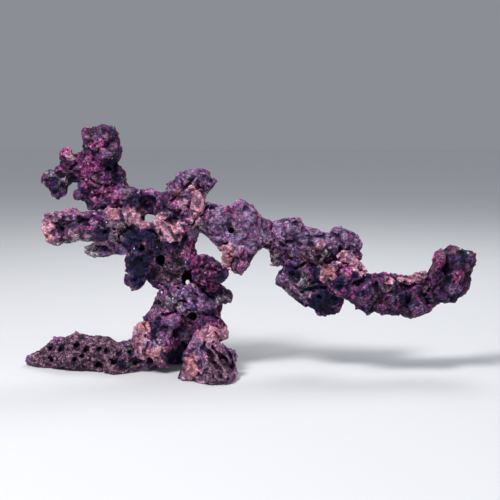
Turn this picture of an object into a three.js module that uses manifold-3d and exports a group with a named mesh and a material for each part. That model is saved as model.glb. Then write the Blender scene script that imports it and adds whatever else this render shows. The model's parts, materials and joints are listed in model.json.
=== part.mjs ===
// Dry rock aquascape: porous reef rocks bonded with coral-pink putty into one branching structure,
// on three feet, with a column and two short arms at the left and a long arm at the right.
// Millimetres, +Z up. Seen from the front, +X is to the right and +Y goes to the back.
import * as THREE from "three";
import { mergeVertices } from "three/addons/utils/BufferGeometryUtils.js";
import Module from "manifold-3d";

const SAMPLE_STEP = 5; // spacing of the grid on which a stone's surface is found
const ROCK_FACET_AREA = 80; // mean area of a facet on a rock
const PUTTY_FACET_AREA = 50; // and on a putty joint
const JOINT_GAP = 0.6; // clearance left where one piece is cut to lie against another
const SEAM_TOLERANCE = 0.05; // slivers along those cuts that are smaller than this are tidied away
const LIMB_BLEND = 8; // radius that softens the crease between two limbs of one rock
const LUMP_SIZE = 30; // distance between the broad lumps of a rock's surface
const LUMP_HEIGHT = 4.5;
const KNOB_SIZE = 15; // and between its smaller knobs
const KNOB_HEIGHT = 3;
const PIT_SPACING = 19; // jittered lattice that the open pits lie on
const PIT_RADIUS = [3.5, 7.5];
const PIT_SHARE = 0.34; // part of the lattice places that hold a pit
const DRILL_SIDES = 12;
const PUTTY_UNEVENNESS = 2;

const PLUM = "#4b2748";
const INDIGO = "#2f2145";
const MAGENTA = "#6b2350";
const MAUVE = "#6d4a63";
const DUSTY_PINK = "#8f5f68";
const CORAL_PUTTY = "#b9736f";

// A piece is a set of limbs that melt together. A limb is a list of stations [x, y, z, radius] along
// the middle of the stone. The order is the order of building: a later piece is cut to fit the earlier.
const ROCKS = {
  left_foot_rock: {
    colour: MAUVE,
    limbs: [
      [[-311, 26, 5, 6], [-288, 21, 9, 13], [-264, 14, 20, 22], [-240, 9, 20, 27]],
      [[-240, 9, 20, 27], [-222, 8, 20, 27], [-200, 6, 16, 26], [-182, -4, 14, 24]],
      [[-182, -4, 14, 24], [-164, 6, 14, 25], [-150, 12, 14, 24]],
    ],
  },
  trunk_base_rock: {
    colour: PLUM,
    limbs: [
      [[-106, 6, 76, 29], [-122, -4, 50, 26], [-128, -8, 32, 18]],
      [[-122, -10, 30, 15], [-120, -14, 17, 9]],
      [[-114, 2, 84, 22], [-128, 0, 74, 15]],
      [[-106, 8, 76, 29], [-86, 4, 70, 25]],
    ],
  },
  front_foot_rock: {
    colour: DUSTY_PINK,
    limbs: [
      [[-77, -48, 5, 15], [-73, -44, 28, 14], [-66, -34, 48, 13]],
      [[-54, -56, 8, 23], [-50, -46, 32, 19], [-50, -30, 50, 14]],
      [[-43, -61, 9, 20], [-40, -46, 28, 16], [-34, -38, 32, 12]],
      [[-31, -46, 15, 17], [-28, -44, 22, 12]],
    ],
  },
  back_foot_rock: {
    colour: INDIGO,
    limbs: [
      [[-98, 50, 6, 27], [-92, 40, 34, 25], [-86, 28, 56, 24]],
      [[-70, 66, 4, 18], [-76, 50, 34, 20]],
      [[-112, 74, 4, 17], [-98, 56, 28, 18]],
    ],
  },
  trunk_middle_rock: {
    colour: MAUVE,
    limbs: [
      [[-103, -6, 104, 21], [-82, -10, 100, 26], [-72, -8, 88, 20]],
      [[-96, 20, 100, 25], [-78, 20, 96, 23]],
    ],
  },
  trunk_side_rock: {
    colour: MAGENTA,
    limbs: [
      [[-54, -14, 56, 17], [-58, -12, 74, 19], [-60, -4, 92, 20], [-58, 0, 112, 18]],
      [[-48, 0, 98, 16], [-31, -2, 99, 12]],
      [[-62, 20, 78, 19], [-60, 18, 98, 17]],
    ],
  },
  trunk_upper_rock: {
    colour: INDIGO,
    limbs: [
      [[-152, 0, 184, 18], [-132, 0, 176, 28], [-106, 2, 166, 30], [-97, 4, 144, 26]],
      [[-97, 4, 144, 26], [-108, 2, 126, 20]],
      [[-150, -2, 164, 18], [-152, -8, 146, 17], [-154, -10, 128, 12]],
      [[-136, 0, 148, 16], [-126, 0, 138, 14], [-121, 0, 128, 13]],
      [[-152, -2, 184, 16], [-170, -4, 186, 16]],
      [[-112, 18, 172, 22], [-104, 20, 146, 21]],
      [[-156, 6, 190, 16], [-162, 8, 200, 14]],
    ],
  },
  shoulder_rock: {
    colour: MAGENTA,
    limbs: [
      [[-76, -4, 142, 17], [-60, -10, 138, 17], [-42, -8, 135, 14], [-39, -6, 132, 10]],
      [[-66, 12, 138, 16], [-52, 10, 134, 13]],
    ],
  },
  wing_rock: {
    colour: PLUM,
    limbs: [
      [[-134, 6, 235, 15], [-115, 6, 234, 15], [-98, 8, 246, 17], [-81, 10, 259, 18]],
      [[-81, 10, 259, 17], [-70, 12, 258, 15], [-60, 14, 261, 10], [-50, 15, 263, 5]],
      [[-72, 8, 250, 14], [-59, 8, 247, 9]],
      [[-112, 0, 218, 17], [-92, 0, 210, 18], [-86, 2, 190, 16]],
      [[-86, 6, 248, 15], [-82, 4, 226, 15], [-84, 2, 206, 16]],
    ],
  },
  neck_rock: {
    colour: PLUM,
    limbs: [
      [[-206, 0, 231, 14], [-190, 0, 236, 18], [-164, 4, 234, 15], [-142, 8, 231, 13]],
      [[-212, -2, 236, 11], [-228, -6, 241, 6]],
      [[-206, -2, 232, 13], [-211, -4, 226, 10]],
      [[-186, 4, 228, 15], [-170, 10, 212, 14]],
    ],
  },
  column_rock: {
    colour: MAGENTA,
    limbs: [
      [[-215, 2, 325, 14], [-190, 0, 323, 14]],
      [[-198, 0, 312, 24], [-197, 0, 296, 26], [-199, 0, 274, 23], [-191, 3, 254, 21]],
      [[-204, 0, 266, 20], [-213, -2, 257, 16]],
      [[-194, 2, 258, 18], [-182, 4, 249, 17]],
    ],
  },
  horn_rock: {
    colour: MAGENTA,
    limbs: [
      [[-222, -2, 276, 17], [-240, -6, 274, 12], [-254, -10, 262, 10], [-264, -12, 259, 7]],
      [[-264, -12, 259, 7], [-273, -14, 258, 3]],
      [[-240, -5, 282, 11], [-243, -5, 294, 9]],
      [[-256, -10, 262, 11], [-257, -12, 251, 9]],
    ],
  },
  left_arm_rock: {
    colour: DUSTY_PINK,
    limbs: [
      [[-260, -30, 207, 13], [-240, -28, 215, 13], [-226, -26, 213, 12], [-212, -20, 206, 12]],
      [[-255, -32, 191, 11], [-240, -30, 188, 11], [-220, -26, 193, 9], [-194, -14, 194, 14]],
      [[-212, -22, 204, 10], [-196, -16, 214, 10], [-186, -12, 206, 12]],
      [[-258, -26, 198, 12], [-236, -24, 201, 11], [-212, -20, 198, 12]],
      [[-194, -14, 194, 14], [-170, -6, 196, 16]],
    ],
  },
  saddle_rock: {
    colour: INDIGO,
    limbs: [
      [[-166, 20, 218, 13], [-148, 24, 228, 13], [-128, 24, 224, 14], [-110, 22, 208, 15]],
      [[-148, 24, 228, 13], [-142, 24, 216, 12]],
    ],
  },
  left_spur_rock: {
    colour: MAUVE,
    limbs: [[[-210, 2, 165, 9], [-198, 2, 171, 11], [-178, 0, 174, 14]]],
  },
  arm_root_rock: {
    colour: MAUVE,
    limbs: [
      [[-70, 4, 208, 16], [-50, 0, 211, 19], [-34, 0, 210, 19], [-14, 0, 211, 19]],
      [[-14, 0, 211, 18], [1, -2, 200, 17], [15, 0, 192, 17], [27, 0, 186, 16]],
      [[-56, -2, 202, 16], [-38, -4, 188, 15], [-16, -6, 186, 17], [6, -4, 183, 16]],
      [[6, -4, 183, 16], [26, 0, 178, 13]],
    ],
  },
  arm_hanging_rock: {
    colour: DUSTY_PINK,
    limbs: [
      [[-25, -4, 167, 14], [-15, -4, 167, 18], [-2, 0, 168, 11]],
      [[-16, -4, 166, 18], [-16, -4, 150, 15], [-13, -6, 141, 10], [-9, -6, 131, 5]],
      [[-22, -6, 144, 8], [-26, -6, 138, 5]],
      [[-10, 10, 172, 14], [-10, 10, 160, 11]],
    ],
  },
  arm_middle_rock: {
    colour: PLUM,
    limbs: [
      [[38, 0, 189, 17], [52, 0, 193, 18], [60, 0, 193, 16], [77, 0, 178, 14], [96, 0, 171, 15]],
      [[60, 0, 201, 12], [62, 2, 208, 9]],
      [[76, 0, 183, 11], [80, 2, 188, 7]],
      [[44, -2, 178, 17], [66, -4, 172, 18], [92, -8, 168, 17], [108, -4, 170, 16]],
      [[42, -2, 168, 12], [39, -4, 151, 8]],
    ],
  },
  elbow_rock: {
    colour: INDIGO,
    limbs: [
      [[56, 0, 126, 15], [70, 0, 119, 18], [84, 2, 107, 21], [100, 2, 102, 22], [110, 0, 100, 17]],
      [[62, -2, 142, 14], [80, -2, 142, 18], [98, 0, 134, 22], [118, 0, 146, 14], [134, 2, 146, 12]],
    ],
  },
  elbow_crest_rock: {
    colour: PLUM,
    limbs: [
      [[112, 4, 174, 15], [120, 6, 185, 12], [131, 8, 177, 13], [142, 8, 165, 12]],
      [[128, 8, 168, 15], [142, 8, 156, 12]],
    ],
  },
  arm_end_rock: {
    colour: MAGENTA,
    limbs: [
      [[118, -20, 130, 19], [134, -26, 124, 23], [154, -26, 114, 23], [178, -24, 114, 22]],
      [[178, -24, 114, 22], [202, -20, 112, 23], [217, -18, 101, 25]],
      [[150, -26, 100, 15], [156, -27, 90, 10]],
      [[179, -24, 98, 14], [178, -24, 93, 8]],
    ],
  },
  arm_tip_rock: {
    colour: MAGENTA,
    limbs: [
      [[228, -17, 102, 20], [242, -16, 111, 20], [258, -15, 119, 20], [272, -14, 130, 24]],
      [[270, -14, 132, 25], [265, -14, 147, 22], [280, -14, 146, 19]],
      [[266, -14, 156, 14], [272, -14, 163, 11]],
      [[282, -12, 154, 14], [295, -12, 161, 8]],
      [[266, -15, 112, 15], [278, -14, 122, 16]],
      [[250, -16, 126, 17], [254, -15, 138, 13]],
    ],
  },
};

const PUTTY = {
  neck_putty: {
    limbs: [[[-212, -9, 213, 8], [-198, -15, 213, 10], [-182, -15, 214, 11], [-168, -12, 214, 9]]],
  },
  saddle_putty: {
    limbs: [
      [[-162, -10, 214, 8], [-150, -12, 208, 9], [-140, -14, 199, 8], [-124, -18, 202, 9]],
      [[-124, -18, 202, 9], [-114, -20, 192, 12], [-104, -20, 188, 13]],
    ],
  },
  shoulder_putty: {
    limbs: [
      [[-70, -2, 242, 9], [-69, -8, 228, 10], [-76, -14, 213, 10], [-90, -18, 200, 10]],
    ],
  },
  arm_root_putty: {
    limbs: [[[-28, -14, 170, 8], [-29, -12, 160, 10], [-29, -14, 148, 8]]],
  },
  left_foot_putty: {
    limbs: [
      [[-147, -6, 58, 11], [-148, -10, 48, 11], [-138, -22, 38, 11], [-126, -26, 30, 11]],
      [[-150, 0, 38, 12], [-146, -14, 30, 12]],
    ],
  },
  front_foot_putty: {
    limbs: [[[-64, -28, 56, 9], [-50, -32, 54, 11], [-38, -26, 54, 9]]],
  },
  back_foot_putty: {
    limbs: [[[-110, 38, 66, 11], [-92, 46, 66, 12], [-72, 40, 64, 11]]],
  },
  elbow_putty: {
    limbs: [[[102, -22, 130, 8], [107, -28, 140, 9], [114, -30, 150, 6]]],
  },
  elbow_ridge_putty: {
    limbs: [[[118, -20, 160, 5], [130, -14, 162, 7], [143, -14, 150, 6], [156, -16, 138, 5]]],
  },
  arm_tip_putty: {
    limbs: [[[184, -32, 126, 8], [202, -32, 126, 9], [220, -26, 130, 9], [232, -22, 134, 7]]],
  },
};

// Caves and clefts that reach into more than one piece, as limbs that are taken out of all of them.
const HOLLOWS = [
  [[-155, -30, 232, 8], [-140, -30, 234, 9], [-134, 4, 230, 9], [-152, 4, 228, 9]],
  [[-141, -40, 214, 5], [-141, 60, 205, 5]],
  [[-132, -40, 213, 5], [-132, 60, 204, 5]],
  [[-87, -50, 129, 4], [-87, 70, 110, 4]],
  [[-152, -40, 172, 5], [-143, -34, 172, 5], [-146, -14, 170, 5]],
  [[-140, -60, 14, 5], [-138, -10, 12, 7]],
  [[-228, -46, 199, 4], [-216, -40, 206, 5], [-212, -34, 207, 4]],
  [[-63, -70, 52, 4], [-57, -66, 38, 5]],
  [[-48, -84, 27, 4], [-46, -80, 16, 5]],
  [[-24, -74, 17, 5], [-24, -58, 17, 5]],
  [[262, -48, 152, 4], [266, -46, 136, 5], [264, -44, 122, 4]],
  [[152, -54, 136, 5], [153, -46, 135, 5]],
  [[143, -54, 128, 5], [144, -46, 127, 5]],
  [[118, -24, 170, 6], [112, -22, 166, 5]],
];

// Holes drilled for pegs and coral plugs: the middle of the mouth, the way that the bit went in,
// how far it went, and its radius.
const DRILLED = [
  { mouth: [-121, -34, 157], into: [0.1, 1, -0.1], depth: 34, radius: 7 },
  { mouth: [-84, -30, 133], into: [-0.05, 1, -0.16], depth: 34, radius: 7.5 },
  { mouth: [-80, -34, 80], into: [0.15, 1, -0.1], depth: 36, radius: 6 },
  { mouth: [-25, -28, 195], into: [0, 1, -0.05], depth: 30, radius: 4.5 },
];

const wasm = await Module();
wasm.setup();

// A repeatable number from 0 to 1 for one place of an integer lattice.
function chance(i, j, k, seed) {
  let h = Math.imul(i, 374761393) ^ Math.imul(j, 668265263) ^ Math.imul(k, 2147483647);
  h = Math.imul(h ^ Math.imul(seed + 1, 1274126177), 2654435761);
  h = Math.imul(h ^ (h >>> 15), 2246822519);
  h = Math.imul(h ^ (h >>> 13), 3266489917);
  return ((h ^ (h >>> 16)) >>> 0) / 4294967296;
}

// Smooth noise from -1 to 1 whose features are size apart.
function noise(x, y, z, size, seed) {
  const at = [x / size, y / size, z / size];
  const cell = at.map(Math.floor);
  const [u, v, w] = at.map((a, n) => THREE.MathUtils.smootherstep(a - cell[n], 0, 1));
  const corner = (a, b, c) => chance(cell[0] + a, cell[1] + b, cell[2] + c, seed);
  const edge = (b, c) => THREE.MathUtils.lerp(corner(0, b, c), corner(1, b, c), u);
  const side = (c) => THREE.MathUtils.lerp(edge(0, c), edge(1, c), v);
  return 2 * THREE.MathUtils.lerp(side(0), side(1), w) - 1;
}

function smoothMin(a, b, blend) {
  const h = Math.max(blend - Math.abs(a - b), 0) / blend;
  return Math.min(a, b) - (h * h * blend) / 4;
}

// Distance from a point to the skin of a limb, a chain of cones with round joints.
function limbDistance(x, y, z, limb) {
  let least = Infinity;
  for (let n = 0; n + 1 < limb.length; n++) {
    const [ax, ay, az, ar] = limb[n];
    const [bx, by, bz, br] = limb[n + 1];
    const [dx, dy, dz] = [bx - ax, by - ay, bz - az];
    const along = (x - ax) * dx + (y - ay) * dy + (z - az) * dz;
    const t = THREE.MathUtils.clamp(along / (dx * dx + dy * dy + dz * dz), 0, 1);
    const gap = Math.hypot(x - ax - t * dx, y - ay - t * dy, z - az - t * dz);
    least = Math.min(least, gap - ar - t * (br - ar));
  }
  return least;
}

// How deep a point lies in the nearest open pit: positive inside one.
function pitDepth(x, y, z, seed) {
  const [ci, cj, ck] = [x, y, z].map((a) => Math.floor(a / PIT_SPACING));
  let deepest = -Infinity;
  for (let i = ci - 1; i <= ci + 1; i++)
    for (let j = cj - 1; j <= cj + 1; j++)
      for (let k = ck - 1; k <= ck + 1; k++) {
        if (chance(i, j, k, seed) > PIT_SHARE) continue;
        const px = (i + chance(i, j, k, seed + 1)) * PIT_SPACING;
        const py = (j + chance(i, j, k, seed + 2)) * PIT_SPACING;
        const pz = (k + chance(i, j, k, seed + 3)) * PIT_SPACING;
        const radius = THREE.MathUtils.lerp(...PIT_RADIUS, chance(i, j, k, seed + 4));
        deepest = Math.max(deepest, radius - Math.hypot(x - px, y - py, z - pz));
      }
  return deepest;
}

// Takes the hollows out of a field, with a soft edge.
function hollowed(d, x, y, z) {
  let kept = d;
  for (const hollow of HOLLOWS) kept = -smoothMin(-kept, limbDistance(x, y, z, hollow), 3);
  return kept;
}

// The signed distance field of a rock: its limbs, with lumps and knobs on them and pits in them.
function rockField(limbs, seed) {
  return (x, y, z) => {
    let d = Infinity;
    for (const limb of limbs) d = smoothMin(d, limbDistance(x, y, z, limb), LIMB_BLEND);
    d -= LUMP_HEIGHT * noise(x, y, z, LUMP_SIZE, seed);
    d -= KNOB_HEIGHT * noise(x, y, z, KNOB_SIZE, seed + 7);
    return hollowed(-smoothMin(-d, -pitDepth(x, y, z, seed + 11), 2), x, y, z);
  };
}

// Putty is pressed on by hand, so it is only a little uneven.
function puttyField(limbs, seed) {
  return (x, y, z) => {
    let d = Infinity;
    for (const limb of limbs) d = smoothMin(d, limbDistance(x, y, z, limb), LIMB_BLEND);
    return hollowed(d - PUTTY_UNEVENNESS * noise(x, y, z, KNOB_SIZE, seed), x, y, z);
  };
}

// Samples a field on a grid round its limbs. Corners that would pinch the surface are filled in.
function sampleField(field, limbs, step) {
  const margin = LUMP_HEIGHT + KNOB_HEIGHT + 2 * step;
  const low = [Infinity, Infinity, Infinity];
  const high = [-Infinity, -Infinity, -Infinity];
  for (const station of limbs.flat())
    for (let n = 0; n < 3; n++) {
      low[n] = Math.min(low[n], station[n] - station[3] - margin);
      high[n] = Math.max(high[n], station[n] + station[3] + margin);
    }
  const start = low.map((a) => Math.floor(a / step));
  const size = high.map((a, n) => Math.ceil(a / step) - start[n] + 1);
  const values = new Float64Array(size[0] * size[1] * size[2]);
  const index = (i, j, k) => (k * size[1] + j) * size[0] + i;
  for (let k = 0; k < size[2]; k++)
    for (let j = 0; j < size[1]; j++)
      for (let i = 0; i < size[0]; i++) {
        const at = [i + start[0], j + start[1], k + start[2]];
        values[index(i, j, k)] = field(...at.map((a) => a * step)) || 1e-6;
      }
  const grid = { values, size, start, step, index };
  while (fillPinches(grid)) continue;
  return grid;
}

// Corner n of a cell is at n & 1 along x, n >> 1 & 1 along y and n >> 2 along z.
const CORNERS = [0, 1, 2, 3, 4, 5, 6, 7].map((n) => [n & 1, (n >> 1) & 1, n >> 2]);
const CELL_FACES = [[0, 1, 3, 2], [4, 5, 7, 6], [0, 1, 5, 4], [2, 3, 7, 6], [0, 2, 6, 4], [1, 3, 7, 5]];

// One pass that fills the shallowest open corner where a cell's inside meets only across a diagonal.
function fillPinches({ values, size, index }) {
  let filled = 0;
  for (let k = 0; k + 1 < size[2]; k++)
    for (let j = 0; j + 1 < size[1]; j++)
      for (let i = 0; i + 1 < size[0]; i++) {
        const at = CORNERS.map(([a, b, c]) => index(i + a, j + b, k + c));
        const inside = at.map((n) => values[n] < 0);
        const count = inside.filter(Boolean).length;
        const crossed = CELL_FACES.filter(
          ([a, b, c, d]) =>
            inside[a] === inside[c] && inside[b] === inside[d] && inside[a] !== inside[b],
        );
        const opposite = [0, 1, 2, 3].some(
          (n) => inside[n] === inside[7 - n] && count === (inside[n] ? 2 : 6),
        );
        if (!crossed.length && !opposite) continue;
        const open = (crossed.length ? crossed[0] : CORNERS.keys().toArray())
          .filter((n) => !inside[n])
          .sort((a, b) => values[at[a]] - values[at[b]])[0];
        values[at[open]] = -1e-3;
        filled++;
      }
  return filled;
}

// Surface nets: one vertex in each cell that the surface crosses, one quad for each crossed grid edge.
function surfaceOf({ values, size, start, step, index }) {
  const points = [];
  const vertexOf = new Map();
  for (let k = 0; k + 1 < size[2]; k++)
    for (let j = 0; j + 1 < size[1]; j++)
      for (let i = 0; i + 1 < size[0]; i++) {
        const sum = new THREE.Vector3();
        let crossings = 0;
        for (let a = 0; a < 8; a++)
          for (const bit of [1, 2, 4]) {
            if (a & bit) continue;
            const [p, q] = [CORNERS[a], CORNERS[a | bit]];
            const vp = values[index(i + p[0], j + p[1], k + p[2])];
            const vq = values[index(i + q[0], j + q[1], k + q[2])];
            if (vp < 0 === vq < 0) continue;
            sum.add(new THREE.Vector3(...p).lerp(new THREE.Vector3(...q), vp / (vp - vq)));
            crossings++;
          }
        if (!crossings) continue;
        vertexOf.set(index(i, j, k), points.length);
        const cell = new THREE.Vector3(i + start[0], j + start[1], k + start[2]);
        points.push(sum.divideScalar(crossings).add(cell).multiplyScalar(step));
      }
  const triangles = [];
  const strides = [1, size[0], size[0] * size[1]];
  for (let k = 1; k + 1 < size[2]; k++)
    for (let j = 1; j + 1 < size[1]; j++)
      for (let i = 1; i + 1 < size[0]; i++)
        for (let axis = 0; axis < 3; axis++) {
          const here = index(i, j, k);
          const inside = values[here] < 0;
          if (inside === values[here + strides[axis]] < 0) continue;
          const [u, v] = [strides[(axis + 1) % 3], strides[(axis + 2) % 3]];
          const quad = [here - u - v, here - v, here, here - u].map((n) => vertexOf.get(n));
          if (!inside) quad.reverse();
          const [a, b, c, d] = quad;
          const short = points[a].distanceTo(points[c]) < points[b].distanceTo(points[d]);
          triangles.push(...(short ? [[a, b, c], [a, c, d]] : [[a, b, d], [b, c, d]]));
        }
  return { points, triangles };
}

// Moves each vertex onto the true surface along the field's gradient.
function settle(points, field) {
  const h = 0.5;
  for (const p of points)
    for (let round = 0; round < 2; round++) {
      const d = field(p.x, p.y, p.z);
      const slope = new THREE.Vector3(
        field(p.x + h, p.y, p.z) - field(p.x - h, p.y, p.z),
        field(p.x, p.y + h, p.z) - field(p.x, p.y - h, p.z),
        field(p.x, p.y, p.z + h) - field(p.x, p.y, p.z - h),
      ).divideScalar(2 * h);
      const reach = THREE.MathUtils.clamp(d / Math.max(slope.length(), 0.3), -1.2, 1.2);
      p.addScaledVector(slope.normalize(), -reach);
    }
}

const normalOf = (a, b, c) =>
  new THREE.Vector3().subVectors(b, a).cross(new THREE.Vector3().subVectors(c, a));

// The sum of squared distances to a set of planes, as the ten numbers of a symmetric matrix.
function planeQuadric(a, b, c) {
  const n = normalOf(a, b, c);
  const area = n.length();
  n.normalize();
  const d = -n.dot(a);
  const [x, y, z] = n;
  return [x * x, x * y, x * z, x * d, y * y, y * z, y * d, z * z, z * d, d * d].map((q) => q * area);
}

function quadricError(q, { x, y, z }) {
  const squares = q[0] * x * x + q[4] * y * y + q[7] * z * z + q[9];
  return squares + 2 * (q[1] * x * y + q[2] * x * z + q[5] * y * z + q[3] * x + q[6] * y + q[8] * z);
}

// The point where a quadric is least, or the better of the edge's middle and ends if that is far away.
function bestPoint(q, a, b) {
  const middle = a.clone().lerp(b, 0.5);
  const m = new THREE.Matrix3().set(q[0], q[1], q[2], q[1], q[4], q[5], q[2], q[5], q[7]);
  if (Math.abs(m.determinant()) > 1e-3) {
    const found = new THREE.Vector3(-q[3], -q[6], -q[8]).applyMatrix3(m.invert());
    if (found.distanceTo(middle) < a.distanceTo(b)) return found;
  }
  return [middle, a, b].reduce((x, y) => (quadricError(q, y) < quadricError(q, x) ? y : x)).clone();
}

// Collapses the edges that matter least until the mesh has the wanted number of triangles.
function simplify({ points, triangles }, wanted) {
  const around = points.map(() => new Set());
  triangles.forEach((t, n) => t.forEach((v) => around[v].add(n)));
  const quadrics = points.map(() => new Array(10).fill(0));
  for (const t of triangles) {
    const q = planeQuadric(...t.map((v) => points[v]));
    for (const v of t) q.forEach((value, n) => (quadrics[v][n] += value));
  }
  let left = triangles.length;
  const neighbours = (v) => new Set([...around[v]].flatMap((n) => triangles[n]).filter((w) => w !== v));
  const flips = (v, gone, to) =>
    [...around[v]].some((n) => {
      const t = triangles[n];
      if (t.includes(gone)) return false;
      const before = normalOf(...t.map((w) => points[w]));
      const after = normalOf(...t.map((w) => (w === v ? to : points[w])));
      return before.dot(after) < 0.25 * before.length() * after.length();
    });
  while (left > wanted) {
    const edges = [];
    triangles.forEach((t) => {
      if (!t) return;
      for (const [a, b] of [[t[0], t[1]], [t[1], t[2]], [t[2], t[0]]]) {
        if (a > b) continue;
        const q = quadrics[a].map((value, n) => value + quadrics[b][n]);
        const to = bestPoint(q, points[a], points[b]);
        const cost = quadricError(q, to) + 0.02 * points[a].distanceToSquared(points[b]);
        edges.push({ a, b, q, to, cost });
      }
    });
    edges.sort((e, f) => e.cost - f.cost);
    const touched = new Set();
    const before = left;
    for (const { a, b, q, to } of edges.slice(0, Math.ceil(edges.length / 4))) {
      if (left <= wanted) break;
      if (touched.has(a) || touched.has(b)) continue;
      const [nearA, nearB] = [neighbours(a), neighbours(b)];
      const shared = [...nearA].filter((v) => nearB.has(v));
      if (shared.length !== 2 || nearA.size + nearB.size < 9) continue;
      if (flips(a, b, to) || flips(b, a, to)) continue;
      for (const n of [...around[b]]) {
        if (triangles[n].includes(a)) {
          triangles[n].forEach((v) => around[v].delete(n));
          triangles[n] = null;
          left--;
        } else {
          triangles[n] = triangles[n].map((v) => (v === b ? a : v));
          around[a].add(n);
        }
      }
      around[b].clear();
      points[a].copy(to);
      quadrics[a] = q;
      for (const v of [a, b, ...nearA, ...nearB]) touched.add(v);
    }
    if (left === before) break;
  }
  return { points, triangles: triangles.filter(Boolean) };
}

function geometryOf({ points, triangles }) {
  const corners = triangles.flat().flatMap((v) => points[v].toArray());
  const soup = new THREE.BufferGeometry();
  soup.setAttribute("position", new THREE.Float32BufferAttribute(corners, 3));
  return mergeVertices(soup, 1e-4);
}

function area({ points, triangles }) {
  return triangles.reduce((sum, t) => sum + normalOf(...t.map((v) => points[v])).length() / 2, 0);
}

// A closed three.js geometry as a solid that can be joined and cut.
function solidOf(geometry) {
  const bare = geometry.clone();
  bare.deleteAttribute("normal");
  bare.deleteAttribute("uv");
  const merged = mergeVertices(bare, 1e-4);
  return new wasm.Manifold(
    new wasm.Mesh({
      numProp: 3,
      vertProperties: new Float32Array(merged.attributes.position.array),
      triVerts: new Uint32Array(merged.index.array),
    }),
  );
}

// The same skin moved out by the joint gap, to cut the pieces that lie against it. Where the facets
// round a vertex stand at an angle to its normal, it moves further, so that they still move the gap.
function cutterOf(geometry) {
  const grown = geometry.clone();
  grown.computeVertexNormals();
  const { position, normal } = grown.attributes;
  const corner = (source, v) => new THREE.Vector3().fromBufferAttribute(source, v);
  const least = new Array(position.count).fill(1);
  for (let n = 0; n < grown.index.count; n += 3) {
    const facet = [0, 1, 2].map((m) => grown.index.getX(n + m));
    const flat = normalOf(...facet.map((v) => corner(position, v))).normalize();
    for (const v of facet) least[v] = Math.min(least[v], flat.dot(corner(normal, v)));
  }
  for (let v = 0; v < position.count; v++) {
    const reach = JOINT_GAP / Math.max(least[v], 0.4);
    const moved = corner(position, v).addScaledVector(corner(normal, v), reach);
    position.setXYZ(v, ...moved.toArray());
  }
  return solidOf(grown).add(solidOf(geometry));
}

function boxesMeet(a, b) {
  const [p, q] = [a.boundingBox(), b.boundingBox()];
  return [0, 1, 2].every((n) => p.min[n] < q.max[n] && q.min[n] < p.max[n]);
}

// The skin of one piece, found from its field and brought down to its share of facets.
function skinOf(field, limbs, facetArea) {
  const surface = surfaceOf(sampleField(field, limbs, SAMPLE_STEP));
  settle(surface.points, field);
  return geometryOf(simplify(surface, 2 * Math.round(area(surface) / facetArea / 2)));
}

// Everything under the surface that the structure stands on.
function underFloor() {
  const reach = 900;
  const block = new THREE.BoxGeometry(reach, reach, reach / 2).translate(0, 0, -reach / 4);
  return solidOf(block);
}

function drillBit({ mouth, into, depth, radius }) {
  const overshoot = 30; // starts outside the stone, so that no skin is left over the mouth
  const bit = new THREE.CylinderGeometry(radius, radius, depth + overshoot, DRILL_SIDES);
  const heading = new THREE.Vector3(...into).normalize();
  bit.translate(0, (depth - overshoot) / 2, 0);
  bit.applyQuaternion(new THREE.Quaternion().setFromUnitVectors(new THREE.Vector3(0, 1, 0), heading));
  bit.translate(...mouth);
  return solidOf(bit);
}

function largestPart(solid) {
  return solid.decompose().reduce((a, b) => (b.volume() > a.volume() ? b : a));
}

function meshOf(name, solid, colour) {
  const { vertProperties, triVerts, numProp } = solid.getMesh();
  const corners = Array.from(triVerts).flatMap((v) => [
    ...vertProperties.subarray(v * numProp, v * numProp + 3),
  ]);
  const geometry = new THREE.BufferGeometry();
  geometry.setAttribute("position", new THREE.Float32BufferAttribute(corners, 3));
  geometry.computeVertexNormals();
  const material = new THREE.MeshStandardMaterial({ color: colour, roughness: 0.9, metalness: 0 });
  material.flatShading = true;
  const mesh = new THREE.Mesh(geometry, material);
  mesh.name = name;
  return mesh;
}

const floor = underFloor();
const bits = DRILLED.map(drillBit);
const cutters = [];
const structure = new THREE.Group();

function place(name, skin, colour) {
  let solid = solidOf(skin);
  for (const cutter of [floor, ...bits, ...cutters])
    if (boxesMeet(solid, cutter)) solid = solid.subtract(cutter);
  cutters.push(cutterOf(skin));
  structure.add(meshOf(name, largestPart(solid.simplify(SEAM_TOLERANCE)), colour));
}

Object.entries(ROCKS).forEach(([name, { limbs, colour }], n) => {
  place(name, skinOf(rockField(limbs, 20 * n), limbs, ROCK_FACET_AREA), colour);
});
Object.entries(PUTTY).forEach(([name, { limbs }], n) => {
  place(name, skinOf(puttyField(limbs, 1000 + n), limbs, PUTTY_FACET_AREA), CORAL_PUTTY);
});

// The origin is under the middle of the structure, on the surface it stands on.
const extent = new THREE.Box3().setFromObject(structure);
structure.position.set(
  -(extent.min.x + extent.max.x) / 2,
  -(extent.min.y + extent.max.y) / 2,
  -extent.min.z,
);

export default structure;
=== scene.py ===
"""Dry rock aquascape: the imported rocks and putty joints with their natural, porous surface.

Each part of the frame is turned into a distance field, its facets are softened, and lumps, knobs, grain
and pits are carved into the field. The surface of the result replaces the part. Patches of crust, putty
and shade are kept as vertex attributes, which the materials mix with procedural noise.
Fields are in millimetres, in the frame's axes. Blender's objects are in metres.
"""

import json
import math

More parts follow.
